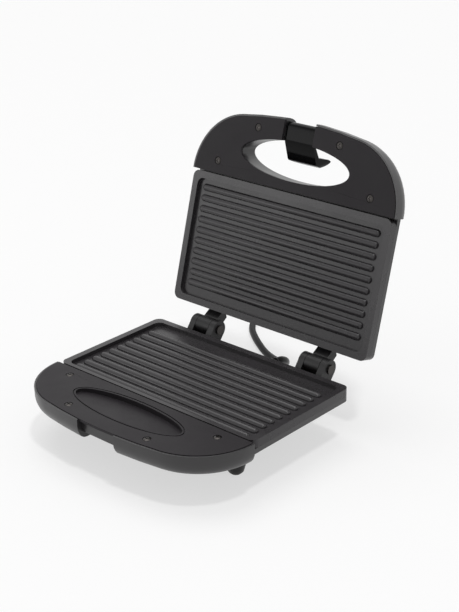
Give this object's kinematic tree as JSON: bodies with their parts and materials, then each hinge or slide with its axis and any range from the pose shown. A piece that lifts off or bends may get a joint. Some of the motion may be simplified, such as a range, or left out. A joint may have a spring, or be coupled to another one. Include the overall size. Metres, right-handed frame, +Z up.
{
  "type": "sandwich toaster",
  "caption": "Hinged grill sandwich toaster with ribbed plates, D-shaped handles, a swinging latch and a coiled mains cord, standing open.",
  "frame": {"origin": "middle of the appliance's footprint on the table, without its cord, at the feet's undersides", "axes": "+Z up, -Y towards the user and the handles' front, +X to the user's right"},
  "size_m": [0.3055, 0.4082, 0.2332],
  "materials": {
    "shell": "moulded heat-resistant plastic, satin gloss",
    "cover": "matt moulded plastic",
    "latch": "glossy moulded plastic",
    "plate": "die-cast aluminium with a dark non-stick coating",
    "hinge": "matt moulded plastic",
    "steel": "zinc-plated steel",
    "screw": "blackened steel",
    "sheath": "annealed steel sheath",
    "reflector": "bright rolled sheet",
    "ceramic": "unglazed ceramic body",
    "sleeve": "varnished glass-fibre sleeve",
    "board": "phenolic board with solder mask",
    "lens_red": "clear red plastic",
    "lens_green": "clear green plastic",
    "rubber": "black rubber",
    "cord": "smooth black flexible sheath",
    "contact": "nickel-plated brass"
  },
  "bodies": {
    "base": {"base_shell": "shell", "base_handle_cover": "cover", "base_cover_screws": "screw", "lower_plate": "plate", "lower_element": "sheath", "lower_reflector": "reflector", "lower_reflector_screws": "steel", "thermostat": "ceramic", "thermal_fuse": "sleeve", "terminal_block": "ceramic", "legs": "hinge", "foot_pads": "rubber", "base_hinge_left": "hinge", "base_hinge_right": "hinge", "hinge_pins": "screw", "strain_relief": "rubber", "power_cord": "cord", "cord_coil": "cord", "cord_tail": "cord", "plug_body": "rubber", "plug_pins": "contact"},
    "lid": {"lid_shell": "shell", "lid_handle_cover": "cover", "lid_cover_screws": "screw", "upper_plate": "plate", "upper_element": "sheath", "upper_reflector": "reflector", "upper_reflector_screws": "steel", "lid_hinge_left": "hinge", "lid_hinge_right": "hinge", "power_lens": "lens_red", "ready_lens": "lens_green", "indicator_board": "board", "latch_pin": "steel"},
    "latch": {"latch": "latch"}
  },
  "joints": [
    {"name": "lid_hinge", "type": "hinge", "parent": "base", "child": "lid", "pos_m": [0, 0.05909, 0.047], "axis": [1, 0, 0], "range_deg": [0, 105.9]},
    {"name": "latch_hinge", "type": "hinge", "parent": "lid", "child": "latch", "pos_m": [0, 0.11988, 0.22464], "axis": [1, 0, 0], "range_deg": [-140, 35]}
  ]
}
